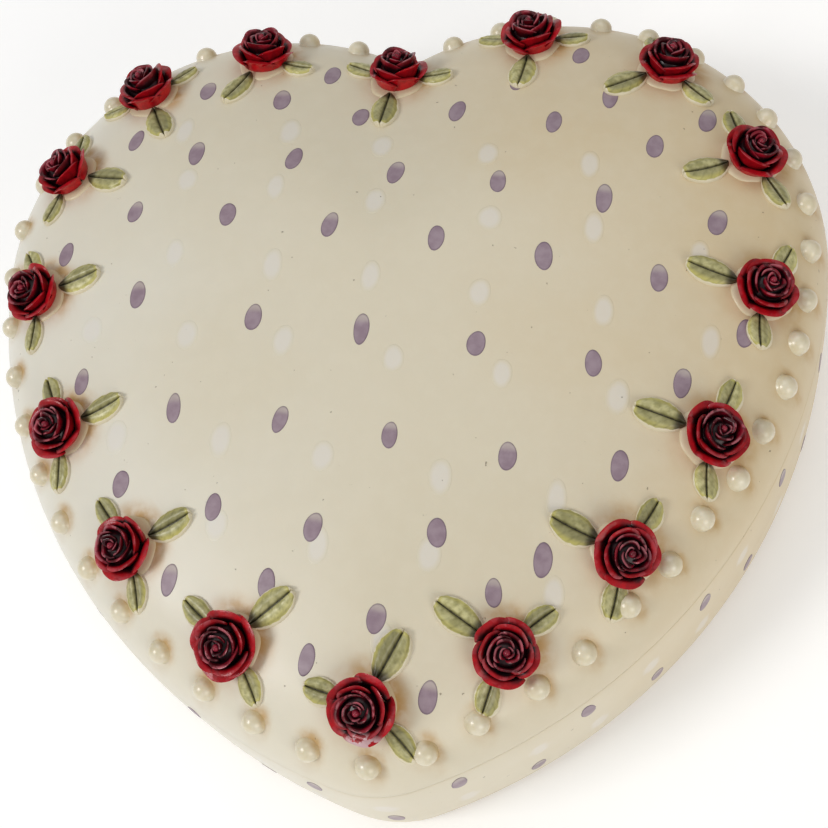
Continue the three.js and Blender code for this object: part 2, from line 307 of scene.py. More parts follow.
def seat_on(inset, share):
    """The plan point at a share of the inset outline's length, and that length."""
    ring = Outline(SEAT_STEPS, even_at=inset)
    return ring.ring(inset)[int(round(share * SEAT_STEPS)) % SEAT_STEPS], 2 * ring.half_length


# ---- Meshes ----

def closed_skin(rings):
    """Vertices and faces of rings of points joined in order, with a fan over each end."""
    n = len(rings[0])
    points = np.vstack([*rings, rings[0].mean(0), rings[-1].mean(0)])
    around = np.arange(n)
    after = (around + 1) % n
    faces = []
    for k in range(len(rings) - 1):
        low, high = k * n, (k + 1) * n
        faces += np.c_[low + around, low + after, high + after, high + around].tolist()
    bottom, top, last = len(points) - 2, len(points) - 1, (len(rings) - 1) * n
    faces += np.c_[after, around, np.full(n, bottom)].tolist()
    faces += np.c_[last + around, last + after, np.full(n, top)].tolist()
    return points, faces


def closed_sheet(top, bottom):
    """Vertices and faces of two grids of points joined round their edge into one thick sheet."""
    rows, columns = top.shape[:2]
    index = np.arange(rows * columns).reshape(rows, columns)
    under = index + rows * columns
    quads = lambda g: np.stack([g[:-1, :-1], g[1:, :-1], g[1:, 1:], g[:-1, 1:]], -1).reshape(-1, 4)
    edge = np.concatenate([index[0, :], index[1:, -1], index[-1, -2::-1], index[-2:0:-1, 0]])
    under_edge = edge + rows * columns
    following = np.roll(edge, -1)
    faces = quads(index).tolist() + quads(under)[:, ::-1].tolist()
    faces += np.c_[edge, following, np.roll(under_edge, -1), under_edge].tolist()
    return np.vstack([top.reshape(-1, 3), bottom.reshape(-1, 3)]), faces


def joined(parts):
    """Several (points, faces, marks) as one; marks are numbers for each point, by name."""
    points, faces, marks, first = [], [], {}, 0
    for part_points, part_faces, part_marks in parts:
        points.append(part_points)
        faces += [[i + first for i in face] for face in part_faces]
        for name, values in part_marks.items():
            marks.setdefault(name, []).append(np.broadcast_to(values, len(part_points)))
        first += len(part_points)
    return np.vstack(points), faces, {name: np.concatenate(values) for name, values in marks.items()}


def piece(name, solid, material, body, replaced=()):
    """A smooth-shaded object from (points, faces, marks), riding on its body."""
    points, faces, marks = solid
    mesh = bpy.data.meshes.new(name)
    mesh.from_pydata((points * MM).tolist(), [], faces)
    work = bmesh.new()
    work.from_mesh(mesh)
    bmesh.ops.recalc_face_normals(work, faces=work.faces)
    work.to_mesh(mesh)
    work.free()
    for mark, values in marks.items():
        mesh.attributes.new(mark, "FLOAT", "POINT").data.foreach_set("value", values.astype(np.float32))
    mesh.polygons.foreach_set("use_smooth", [True] * len(mesh.polygons))
    mesh.materials.append(material)
    thing = bpy.data.objects.new(name, mesh)
    bpy.context.scene.collection.objects.link(thing)
    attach(thing, body)
    if replaced:
        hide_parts(*replaced)
    return thing


# ---- Materials ----

class Graph:
    """A material's nodes, added one call at a time."""

    def __init__(self, name, **surface):
        self.material = bpy.data.materials.new(name)
        self.material.use_nodes = True
        self.tree = self.material.node_tree
        self.shader = self.tree.nodes["Principled BSDF"]
        for socket, value in surface.items():
            self.shader.inputs[socket.replace("_", " ")].default_value = value
        self.place = self.add("ShaderNodeTexCoord").outputs["Object"]

    def add(self, kind, **settings):
        node = self.tree.nodes.new(kind)
        for name, value in settings.items():
            setattr(node, name, value)
        return node

    def feed(self, socket, value):
        if isinstance(value, bpy.types.NodeSocket):
            self.tree.links.new(value, socket)
        elif isinstance(value, (tuple, list)):
            socket.default_value = (*value, 1.0)[:4] if socket.type == "RGBA" else value
        else:
            socket.default_value = value

    def mark(self, name):
        return self.add("ShaderNodeAttribute", attribute_name=name).outputs["Fac"]

    def maths(self, operation, a, b):
        node = self.add("ShaderNodeMath", operation=operation)
        self.feed(node.inputs[0], a)
        self.feed(node.inputs[1], b)
        return node.outputs[0]

    def span(self, value, low, high, start=0.0, end=1.0):
        """value taken smoothly from low..high to start..end."""
        node = self.add("ShaderNodeMapRange", interpolation_type="SMOOTHSTEP")
        for socket, number in zip(node.inputs, (value, low, high, start, end)):
            self.feed(socket, number)
        return node.outputs["Result"]

    def noise(self, size, detail=3.0, rough=0.5):
        """Noise with features of about size millimetres, from 0 to 1."""
        node = self.add("ShaderNodeTexNoise")
        self.feed(node.inputs["Vector"], self.place)
        node.inputs["Scale"].default_value = 1 / (size * MM)
        node.inputs["Detail"].default_value = detail
        node.inputs["Roughness"].default_value = rough
        return node.outputs["Fac"]

    def mix(self, share, a, b):
        node = self.add("ShaderNodeMix", data_type="RGBA")
        self.feed(node.inputs[0], share)
        self.feed(node.inputs[6], a)
        self.feed(node.inputs[7], b)
        return node.outputs[2]

    def bump(self, height, depth, after=None):
        """A bump of depth millimetres where height goes from 0 to 1."""
        node = self.add("ShaderNodeBump")
        node.inputs["Distance"].default_value = depth * MM
        self.feed(node.inputs["Height"], height)
        if after is not None:
            self.feed(node.inputs["Normal"], after)
        return node.outputs["Normal"]

    def finish(self, colour, roughness=None, normal=None):
        self.feed(self.shader.inputs["Base Color"], colour)
        if roughness is not None:
            self.feed(self.shader.inputs["Roughness"], roughness)
        if normal is not None:
            self.feed(self.shader.inputs["Normal"], normal)
        return self.material


def srgb(*levels):
    """A linear colour from 0-255 levels."""
    return tuple(v / 255 / 12.92 if v < 10.3 else ((v / 255 + 0.055) / 1.055) ** 2.4 for v in levels)


# The cool cream is the cream in light. The warm cream is the cream in painted shade, and it is also browner
# with glaze.
CREAM = srgb(214, 205, 182)
CREAM_LIT_SIDE = srgb(222, 219, 207)
CREAM_SHADE_AND_GLAZE = srgb(210, 191, 154)
# The wash brown is both the antiquing wash and the painted shadow beside the raised trim.
WASH_AND_SHADOW = srgb(182, 142, 74)
WHITE = srgb(222, 217, 211)


def cream_paint():
    g = Graph("cream_paint", Specular_IOR_Level=0.42, Coat_Weight=0.12, Coat_Roughness=0.22)
    g.shader.inputs["Subsurface Weight"].default_value = 0.06
    g.shader.inputs["Subsurface Radius"].default_value = (0.0016, 0.0011, 0.0007)
    cloud = g.noise(26, detail=2.0)
    mottle = g.noise(2.6, detail=5.0, rough=0.62)
    # drift runs from the lit cream on the left to painted shade on the right and towards the cleft, browner
    # with glaze there, with some cloudy variation.
    drift = g.maths("ADD", g.mark("glaze_and_shade"), g.span(cloud, 0.3, 0.7, -0.06, 0.06))
    colour = g.mix(g.span(drift, 0.0, 0.5), CREAM_LIT_SIDE, CREAM)
    colour = g.mix(g.span(drift, 0.5, 1.0), colour, CREAM_SHADE_AND_GLAZE)
    colour = g.mix(g.span(mottle, 0.35, 0.75, 0.0, 0.10), colour, srgb(232, 226, 208))
    colour = g.mix(g.maths("MULTIPLY", g.mark("white"), 0.55), colour, WHITE)
    # Brown where the wash collects and where shadow is painted beside the roses and pearls.
    patchy = g.span(g.noise(1.9, detail=4.0), 0.30, 0.66, 0.4, 1.0)
    stain_and_shadow = g.maths("MULTIPLY", g.mark("wash_and_shadow"), patchy)
    colour = g.mix(g.maths("MULTIPLY", stain_and_shadow, 0.95), colour, WASH_AND_SHADOW)
    specks = g.span(g.noise(0.9, detail=2.0), 0.755, 0.78)
    colour = g.mix(g.maths("MULTIPLY", specks, 0.55), colour, srgb(96, 82, 58))
    roughness = g.span(mottle, 0.2, 0.8, 0.34, 0.46)
    normal = g.bump(g.noise(9, detail=2.0), 0.10)
    normal = g.bump(g.noise(0.35, detail=3.0), 0.006, normal)
    normal = g.bump(g.maths("MULTIPLY", specks, -1.0), 0.05, normal)
    return g.finish(colour, roughness, normal)


def lavender_paint():
    g = Graph("lavender_paint", Specular_IOR_Level=0.4)
    body = g.mix(g.span(g.noise(1.3, detail=4.0), 0.3, 0.7), srgb(140, 120, 132), srgb(155, 137, 147))
    # The paler end on some dots is a painted glare on the raised paint.
    painted_glare = g.maths("MULTIPLY", g.mark("painted_glare"), 0.55)
    body = g.mix(painted_glare, body, srgb(200, 190, 178))
    colour = g.mix(g.span(g.mark("edge"), 0.84, 0.97, 0.0, 0.5), body, srgb(88, 70, 88))
    return g.finish(colour, 0.4, g.bump(g.noise(0.5, detail=3.0), 0.01))


def rose_enamel():
    g = Graph("rose_enamel", Specular_IOR_Level=0.25, Coat_Weight=0.2, Coat_Roughness=0.08)
    brushed = g.noise(0.9, detail=4.0)
    broad = g.noise(2.0, detail=3.0)
    outer = g.mix(g.span(brushed, 0.3, 0.75), srgb(190, 14, 26), srgb(150, 6, 20))
    inner = g.mix(g.span(broad, 0.46, 0.60), srgb(50, 2, 13), srgb(120, 10, 32))
    colour = g.mix(g.mark("inner"), outer, inner)
    bud = g.mix(g.span(brushed, 0.4, 0.6), srgb(140, 30, 50), srgb(92, 8, 26))
    colour = g.mix(g.mark("bud"), colour, bud)
    dark = g.maths("MULTIPLY", g.mark("deep"), g.span(brushed, 0.2, 0.55, 0.8, 1.0))
    colour = g.mix(dark, colour, srgb(20, 2, 6))
    # Pale pink on patches of the petal rims: dry-brushed wear and a painted highlight on the crests.
    patch_mask = g.maths("MULTIPLY", g.mark("rim"), g.span(g.noise(1.6, detail=3.0), 0.50, 0.57))
    colour = g.mix(g.maths("MULTIPLY", patch_mask, 0.5), colour, srgb(200, 110, 122))
    chipped = g.maths("MULTIPLY", g.mark("chip"), g.span(g.noise(1.1, detail=4.0), 0.47, 0.51))
    colour = g.mix(chipped, colour, srgb(200, 168, 172))
    return g.finish(colour, g.span(brushed, 0.2, 0.8, 0.3, 0.44), g.bump(g.noise(0.5, detail=3.0), 0.05))


def leaf_paint():
    g = Graph("leaf_paint", Specular_IOR_Level=0.45, Coat_Weight=0.15, Coat_Roughness=0.25)
    brushed = g.noise(0.9, detail=4.0)
    green = g.mix(g.span(brushed, 0.32, 0.68), srgb(204, 199, 146), srgb(160, 156, 102))
    green = g.mix(g.mark("shade"), green, srgb(118, 114, 74))
    green = g.mix(g.span(g.mark("edge"), 0.5, 0.8, 0.0, 0.7), green, srgb(192, 184, 100))
    green = g.mix(g.mark("vein"), green, srgb(40, 36, 22))
    ragged = g.maths("ADD", g.mark("edge"), g.span(brushed, 0.3, 0.7, -0.04, 0.04))
    colour = g.mix(g.span(ragged, 0.83, 0.89), green, srgb(216, 207, 180))
    # Brown wash and painted shadow on the paste lumps, on the side away from the key light.
    colour = g.mix(g.maths("MULTIPLY", g.mark("wash_and_shadow"), 0.6), colour, WASH_AND_SHADOW)
    return g.finish(colour, g.span(brushed, 0.2, 0.8, 0.32, 0.45), g.bump(brushed, 0.04))


def pearl_paint():
    g = Graph("pearl_paint", Specular_IOR_Level=0.5, Coat_Weight=0.5, Coat_Roughness=0.2)
    g.shader.inputs["Subsurface Weight"].default_value = 0.1
    g.shader.inputs["Subsurface Radius"].default_value = (0.0012, 0.0009, 0.0006)
    patch_mask = g.noise(1.2, detail=3.0)
    colour = g.mix(g.span(patch_mask, 0.3, 0.7), srgb(212, 202, 172), srgb(219, 211, 188))
    # Brown wash and painted shadow on each bead's shaded side.
    wash_and_shadow = g.maths("MULTIPLY", g.mark("wash_and_shadow"), g.span(patch_mask, 0.3, 0.6, 0.55, 1.0))
    colour = g.mix(g.maths("MULTIPLY", wash_and_shadow, 0.8), colour, srgb(190, 156, 88))
    return g.finish(colour, 0.3, g.bump(patch_mask, 0.03))


def felt_cloth(name, light, dark):
    g = Graph(name, Sheen_Weight=0.5, Sheen_Roughness=0.6, Specular_IOR_Level=0.15)
    fibres = g.noise(0.35, detail=6.0, rough=0.75)
    clumps = g.noise(3.2, detail=3.0)
    colour = g.mix(g.span(fibres, 0.3, 0.7), dark, light)
    colour = g.mix(g.span(clumps, 0.3, 0.7, 0.0, 0.25), colour, dark)
    return g.finish(colour, 0.95, g.bump(fibres, 0.12, g.bump(clumps, 0.15)))


cream = cream_paint()
lavender = lavender_paint()
enamel = rose_enamel()
green = leaf_paint()
nacre = pearl_paint()
ivory = felt_cloth("ivory_felt", srgb(214, 204, 180), srgb(176, 164, 138))
brown = felt_cloth("brown_felt", srgb(126, 106, 84), srgb(84, 68, 52))


# ---- Where the trim sits ----

rng = np.random.default_rng(7)


class Seat:
    """A spot on the lid with its frame: out and along in the surface, up away from it."""

    def __init__(self, plan):
        self.plan = plan
        self.up = lid_top.normal(plan)
        self.at = np.array([*plan, float(lid_top(*plan))])
        flat = np.array([self.up[0], self.up[1], 0])
        self.along = np.cross([0, 0, 1], flat / np.linalg.norm(flat))
        self.out = np.cross(self.along, self.up)

    def place(self, local, tilt=(0.0, 0.0)):
        """Local points (x out, y along, z up) as lid points."""
        lean = Matrix.Rotation(tilt[0], 3, "X") @ Matrix.Rotation(tilt[1], 3, "Y")
        local = local @ np.array(lean).T
        return self.at + local @ np.array([self.out, self.along, self.up])


def rose_seats():
    seats = []
    for i, (inset, slid, _) in enumerate(ROSE_SETTINGS):
        length = seat_on(inset, 0)[1]
        seats.append(Seat(seat_on(inset, i / len(ROSE_SETTINGS) + slid / length)[0]))
    return seats


def pearl_seats():
    right = np.arange(PEARLS_RIGHT + 1) / (2 * PEARLS_RIGHT)
    left = 0.5 + np.arange(1, PEARLS_LEFT) / (2 * PEARLS_LEFT)
    length = seat_on(PEARL_INSET, 0)[1]
    seats = []
    for k, share in enumerate(np.r_[right, left]):
        slid, tucked = PUSHED[k] if k < len(PUSHED) else (0, 0)
        seats.append(Seat(seat_on(PEARL_INSET + tucked, share + slid / length)[0]))
    return seats


ROSES = rose_seats()
PEARLS = pearl_seats()


# ---- Roses ----

# Rings of petals from the outside in: count, half the angle one spans, radius at its root and its rim,
# height at its root and its rim, how far its lip rolls out, how far one edge is tucked in, thickness, and
# tone from 0 for bright to 1 for dark.
PETAL_RINGS = [
    (5, 0.84, 2.9, 3.85, -0.4, 2.5, 0.5, 0.22, 0.75, 0.0),
    (4, 0.95, 2.5, 3.2, 0.3, 3.5, 0.26, 0.26, 0.65, 0.15),
    (3, 1.35, 2.0, 2.45, 1.0, 4.3, 0.04, 0.3, 0.48, 0.85),
    (3, 1.15, 1.1, 1.6, 2.0, 4.4, 0.0, 0.26, 0.42, 0.9),
    (2, 1.50, 0.55, 0.92, 2.2, 4.5, 0.0, 0.2, 0.34, 1.0),
]
# Radius and height of the core under the petals, and of the bud in the middle.
ROSE_CORE = [(1, -0.4), (2.7, -0.3), (2.9, 0.6), (2.6, 1.9), (2.1, 2.9), (1.3, 3.4), (0.4, 3.6)]
ROSE_BUD = [(0.2, 2), (0.5, 2.4), (0.52, 3.9), (0.42, 4.3), (0.22, 4.5), (0.05, 4.55)]
BUD_TONE = 2.0  # past every petal's tone, which tells the bud apart
# The height of the rose's crown over its radius, which the hollows are measured from.
CANOPY_R = [0.0, 0.9, 1.7, 2.5, 3.1, 3.7, 4.6]
CANOPY_Z = [4.55, 4.5, 4.4, 4.2, 3.4, 2.5, 1.9]


def petal(azimuth, spread, root, rim, low, top, lip, tuck, thick, tone):
    """One thick cupped petal with a round lip, one edge tucked under the next petal."""
    up = np.array([0, 0.2, 0.4, 0.56, 0.7, 0.8, 0.87, 0.925, 0.96, 0.985, 1.0])
    u, v = np.meshgrid(np.linspace(-1, 1, 17), up, indexing="ij")
    wave = 0.07 * np.sin(3.3 * u + 3 * azimuth) * v + 0.04 * np.sin(7 * u + azimuth) * v
    angle = azimuth + spread * u * (0.75 + 0.25 * v)
    roll = smoothstep(0.6, 1, v)
    radius = root + (rim - root) * v ** 0.8 + tuck * u * v - 0.3 * u ** 4 * v
    radius += lip * roll * (1 - 0.6 * u ** 4) + wave
    height = low + (top - low) * v * (1 - 0.36 * np.abs(u) ** 2.6)
    height += wave - 0.6 * lip * smoothstep(0.8, 1, v)
    crest = np.sqrt(np.clip(1 - (np.clip(v - 0.86, 0, None) / 0.14) ** 2, 0.004, 1))
    thickness = thick * (1 - 0.2 * v) * crest * (1 - 0.4 * u ** 4)

    def grid(r, h):
        return np.stack([r * np.cos(angle), r * np.sin(angle), h], -1)

    points, faces = closed_sheet(grid(radius, height), grid(radius - thickness, height + 0.1 * thickness))
    marks = {
        "rim": np.tile(smoothstep(0.93, 0.985, v).ravel(), 2),
        "inside": np.repeat([0.0, 1.0], u.size),
        "tone": np.full(2 * u.size, float(tone)),
    }
    return points, faces, marks


def turned_solid(profile, count, marks):
    """A solid turned round Z from the radii and heights of its profile."""
    around = np.linspace(0, 2 * math.pi, count, endpoint=False)
    rings = [np.c_[r * np.cos(around), r * np.sin(around), np.full(count, h)] for r, h in profile]
    points, faces = closed_skin(rings)
    return points, faces, marks


def rose(i, seat):
    """A rose of rings of thick petals, open ones outside and closed ones round a bud."""
    parts = [
        turned_solid(ROSE_CORE, count=24, marks={"rim": 0.0, "inside": 1.0, "tone": 0.8}),
        turned_solid(ROSE_BUD, count=12, marks={"rim": 0.0, "inside": 0.0, "tone": BUD_TONE}),
    ]
    start = rng.uniform(0, 2 * math.pi)
    for count, spread, root, rim, low, top, lip, tuck, thick, tone in PETAL_RINGS:
        start += rng.uniform(0.4, 1.0)
        for k in range(count):
            azimuth = start + 2 * math.pi * (k + rng.uniform(-0.12, 0.12)) / count
            grown = rng.uniform(0.93, 1.07)
            parts.append(petal(azimuth, spread * rng.uniform(0.88, 1.12), root, rim * grown, low,
                               top * rng.uniform(0.92, 1.04), lip, tuck, thick, tone))
    points, faces, marks = joined(parts)
    radius = np.hypot(points[:, 0], points[:, 1])
    below = np.interp(radius, CANOPY_R, CANOPY_Z) - points[:, 2]
    tone = marks.pop("tone")
    inside = marks.pop("inside")
    hollow = smoothstep(0.2, 1.1, below) * (1 - 0.85 * marks["rim"])
    marks["deep"] = hollow * np.where(inside > 0, 1.0, np.clip(tone * 1.4, 0, 1))
    marks["bud"] = (tone == BUD_TONE).astype(float)
    marks["inner"] = np.clip(tone * 0.9 + 0.15 * inside, 0, 1) * (1 - marks["bud"])
    marks["rim"] = marks["rim"] * np.clip(0.3 + tone, 0, 1)
    downhill = points[:, 0] - 0.5 * np.abs(points[:, 1] - 0.4)
    marks["chip"] = smoothstep(2.0, 3.2, downhill) * (below < 1.2) * (i == CHIPPED_ROSE)
    swell = rng.uniform(0.96, 1.03)
    tilt = np.radians(rng.uniform(-6, 6, 2))
    return seat.place(points * swell + [0, 0, 0.15], tilt), faces, marks


# ---- Leaves ----

def leaf(seat, turn, length, half_width, bend, shade):
    """One moulded leaf lying on the lid, its face folded along the midrib, on a border of cream paste."""
    half = np.array([0, 0.05, 0.1, 0.18, 0.32, 0.5, 0.66, 0.77, 0.84, 0.9, 0.96, 1.0])
    u, v = np.meshgrid(np.concatenate([-half[:0:-1], half]), np.linspace(0, 1, 27), indexing="ij")
    width = half_width * 2.42 * (v + 0.012) ** 0.7 * np.clip(1.0 - v, 0.002, 1) ** 0.6
    direction = np.array([math.cos(turn), math.sin(turn)])
    across = np.array([-direction[1], direction[0]])
    lateral = u * width + bend * v ** 2
    inward = -seat.out[:2] / np.linalg.norm(seat.out[:2])
    sideways = -seat.along[:2]
    local = (LEAF_ROOT + (length - LEAF_ROOT) * v)[..., None] * direction + lateral[..., None] * across
    plan = seat.plan + local @ np.array([inward, sideways])
    side = np.abs(u)
    swell = 0.42 + 0.46 * (1 - (np.clip(side - 0.38, -1, 0.46) / 0.46) ** 2)
    groove = 0.34 * np.exp(-(u / 0.10) ** 2)
    ribs = np.sin(2 * math.pi * (5 * v - 1.6 * side))
    veins = 0.035 * ribs * smoothstep(0.08, 0.3, side)
    edge_fall = smoothstep(0.92, 1.0, side)
    lift = (swell - groove + veins + 0.18 * v ** 2) * (1 - edge_fall) - 0.12 * edge_fall
    tip_fall = smoothstep(0.97, 1.0, v)
    lift = lift * (1 - tip_fall) - 0.12 * tip_fall
    ground = lid_top(plan[..., 0], plan[..., 1])
    top = np.stack([plan[..., 0], plan[..., 1], ground + lift], -1)
    under = np.stack([plan[..., 0], plan[..., 1], ground - 0.3], -1)
    points, faces = closed_sheet(top, under)
    edge = np.maximum(side, smoothstep(0.70, 1.0, v) * 0.98)
    vein = np.exp(-(u / 0.07) ** 2) + 0.22 * smoothstep(0.6, 1, ribs)
    vein = vein + 0.55 * np.exp(-((side - 0.8) / 0.04) ** 2) * (u * bend > 0)
    # The same dark paint also covers each leaf's root, next to the rose.
    vein = np.maximum(vein * smoothstep(0.95, 0.8, side), 0.9 * smoothstep(0.26, 0.12, v))
    marks = {
        "edge": np.tile(edge.ravel(), 2), "vein": np.tile(np.clip(vein, 0, 1).ravel(), 2),
        "shade": np.tile(np.where(u > 0, shade + 0.3, shade).ravel(), 2), "wash_and_shadow": 0.0,
    }
    return points, faces, marks


# Radius of the lump of paste under a rose, and its height over the lid.
PASTE_PROFILE = [(2.0, -0.5), (3.95, -0.4), (4.05, -0.05), (3.95, 0.1), (3.8, 0.2), (3.5, 0.3), (2.5, 0.4)]


def paste(seat):
    """The lump of cream paste that a rose is pressed into."""
    around = np.linspace(0, 2 * math.pi, 48, endpoint=False)
    ragged = 1 + 0.03 * np.sin(3 * around + rng.uniform(0, 6)) + 0.02 * np.sin(7 * around + rng.uniform(0, 6))
    rings = []
    for r, lift in PASTE_PROFILE:
        plan = seat.plan + r * ragged[:, None] * np.c_[np.cos(around), np.sin(around)]
        rings.append(np.c_[plan, lid_top(plan[:, 0], plan[:, 1]) + lift])
    points, faces = closed_skin(rings)
    # Brown wash and painted shadow, heavier on the side away from the key light.
    toward = (points[:, :2] - seat.plan) @ WASH_AND_SHADOW_SIDE / 4.5
    wash_and_shadow = 0.35 + 0.5 * smoothstep(-0.2, 1, toward)
    return points, faces, {"edge": 1.0, "vein": 0.0, "shade": 0.0, "wash_and_shadow": wash_and_shadow}


def spray(i, seat):
    """A rose's lump of paste and the three leaves round it."""
    turned = math.radians(ROSE_SETTINGS[i][2])
    parts = [paste(seat)]
    side = math.radians(SIDE_LEAF_TURN)
    for turn, (length, half_width) in ((0, LARGE_LEAF), (side, SIDE_LEAF), (-side, SIDE_LEAF)):
        parts.append(leaf(seat, turned + turn + rng.uniform(-0.08, 0.08), length * rng.uniform(0.96, 1.04),
                          half_width * rng.uniform(0.92, 1.05), rng.uniform(-0.6, 0.6), rng.uniform(0, 0.5)))
    return joined(parts)


# ---- Pearls ----

def pearl(seat):
    """A half pearl with a small foot of paste."""
    around = np.linspace(0, 2 * math.pi, 36, endpoint=False)
    rise = np.radians([3, 12, 23, 34, 46, 58, 69, 79, 87])
    dome = [((PEARL_R + 0.05) * math.cos(a), 0.05 + 1.5 * math.sin(a)) for a in rise]
    profile = [(0.6, -0.4), (1.75, -0.35), (1.72, -0.04)] + dome
    rings = []
    for r, h in profile:
        local = np.c_[r * np.cos(around), r * np.sin(around), np.full_like(around, h)]
        rings.append(seat.place(local))
    points, faces = closed_skin(rings)
    # Brown wash and painted shadow on the side away from the key light, heaviest low round the bead's foot.
    toward = (points[:, :2] - seat.plan) @ WASH_AND_SHADOW_SIDE / PEARL_R
    low = smoothstep(1.4, 0.3, (points - seat.at) @ seat.up)
    return points, faces, {"wash_and_shadow": smoothstep(0.0, 0.85, toward) * (0.4 + 0.6 * low)}


# ---- Painted dots ----

def spots(rows, wander, from_rim, from_rose):
    """Plan points of the spots in rows, without those that a rose or the rim would cover."""
    points = [np.array([x + k * dx, y + k * dy]) + rng.uniform(-wander, wander, 2)
              for x, y, count, dx, dy in rows for k in range(count)]
    clear = lambda p: all(np.linalg.norm(p - seat.plan) > from_rose for seat in ROSES)
    return [p for p in points if inset_of(*p) > from_rim and clear(p)]


# A dab of paint from its underside to its middle: how far out towards its edge, and how far off the face.
DAB_PROFILE = [
    (0.3, -0.1), (0.9, -0.1), (1.0, -0.02), (0.985, 0.035), (0.93, 0.05),
    (0.8, 0.055), (0.6, 0.06), (0.35, 0.06), (0.1, 0.06),
]


def dot(centre, lay, length, width, lean):
    """A dab of paint on a face; lay turns local (x, y, lift) into points on it."""
    around = np.linspace(0, 2 * math.pi, 40, endpoint=False)
    wobble = 1 + 0.03 * np.sin(2 * around + centre[0]) + 0.02 * np.sin(3 * around + centre[1])
    c, s = math.cos(lean), math.sin(lean)
    rings, edge, painted_glare = [], [], []
    for r, lift in DAB_PROFILE:
        x, y = 0.5 * width * r * wobble * np.cos(around), 0.5 * length * r * wobble * np.sin(around)
        rings.append(lay(c * x + s * y, -s * x + c * y, lift))
        edge.append(np.full_like(around, r))
        painted_glare.append(r * np.sin(around))
    points, faces = closed_skin(rings)
    edge = np.concatenate([*edge, [0, 0]])
    # One end of half the dots is painted paler, as a glare on the raised paint.
    painted_glare = smoothstep(0.25, 0.75, np.concatenate([*painted_glare, [0, 0]]))
    return points, faces, {"edge": edge, "painted_glare": painted_glare * (rng.random() < 0.5)}


SPOTS = spots(DOT_ROWS, wander=0.3, from_rim=4, from_rose=5.5)
WHITES = spots(WHITE_ROWS, wander=0.9, from_rim=6, from_rose=7.5)


def blot(x, y):
    """A soft-edged spot of white, laid on the lid as a skin that fades into the cream."""
    def lay(dx, dy, lift):
        return np.c_[x + dx, y + dy, lid_top(x + dx, y + dy) + 0.25 * lift]

    length = WHITE_LENGTH * rng.uniform(0.85, 1.1)
    width = WHITE_WIDTH * rng.uniform(0.85, 1.1)
    points, faces, marks = dot((x, y), lay, length, width, lean=0.1)
    white = smoothstep(0.97, 0.6, marks["edge"])
    return points, faces, {"white": white, "glaze_and_shade": glaze_and_shade_marks(points), "wash_and_shadow": 0.0}


def lid_dots():
    parts = []
    for x, y in SPOTS:
        def lay(dx, dy, lift, x=x, y=y):
            return np.c_[x + dx, y + dy, lid_top(x + dx, y + dy) + lift]

        grown = rng.uniform(0.88, 1.12)
        lean = math.radians(DOT_LEAN + rng.uniform(-7, 7))
        parts.append(dot((x, y), lay, DOT_LENGTH * grown, DOT_WIDTH * rng.uniform(0.88, 1.1), lean))
    return joined(parts)


WALL_STEPS = 4800
WALL_RING = Outline(WALL_STEPS)


def wall_spots(odd_height, even_height):
    """Spots round the wall, each as a share of the outline's length and a height."""
    places = []
    for k in range(WALL_DOTS):
        share = (k + 0.1 + rng.uniform(-0.1, 0.1)) / WALL_DOTS
        height = odd_height if k % 2 else even_height
        places.append((share, height + rng.uniform(-0.7, 0.7)))
    return places


WALL_SPOTS = wall_spots(odd_height=16.2, even_height=6.2)
WALL_WHITES = wall_spots(odd_height=7.5, even_height=13.5)


def wall_dots():
    length = 2 * WALL_RING.half_length
    parts = []
    for share, z in WALL_SPOTS:
        def lay(along, up, lift, share=share, z=z):
            index = np.round((share + along / length) * WALL_STEPS).astype(int) % WALL_STEPS
            height = z + up
            inset = (wall_inset(height) - lift)[:, None]
            return np.c_[WALL_RING.ring(0)[index] - WALL_RING.normals()[index] * inset, height]

        grown = rng.uniform(0.9, 1.1)
        lean = math.radians(rng.uniform(-12, 12))
        parts.append(dot((share, z), lay, WALL_DOT_LENGTH * grown, WALL_DOT_WIDTH, lean))
    return joined(parts)


# ---- Shells ----

def wash_and_shadow_round(points):
    """Brown antiquing wash and painted shadow round the roses, leaves and pearls, most of it on the side away
    from the key light.
    """
    wash_and_shadow = np.zeros(len(points))
    for seats, radius, reach, strength in ((ROSES, 4.3, 2.6, 1.0), (PEARLS, 1.6, 1.3, 0.9)):
        for seat in seats:
            away = points[:, :2] - seat.plan
            distance = np.linalg.norm(away, axis=1) + 1e-6
            side = 0.2 + 0.8 * smoothstep(-0.4, 0.9, away @ WASH_AND_SHADOW_SIDE / distance)
            near = smoothstep(radius + reach, radius - 0.2, distance)
            wash_and_shadow = np.maximum(wash_and_shadow, strength * side * near * (points[:, 2] > SEAM_Z))
    return wash_and_shadow


def glaze_and_shade_marks(points):
    """Painted shade with some brown glaze: more of both towards the right lobe and the cleft, away from the
    key light.
    """
    return np.clip(0.5 + (points[:, 0] + 0.25 * points[:, 1]) / 125, 0, 1)


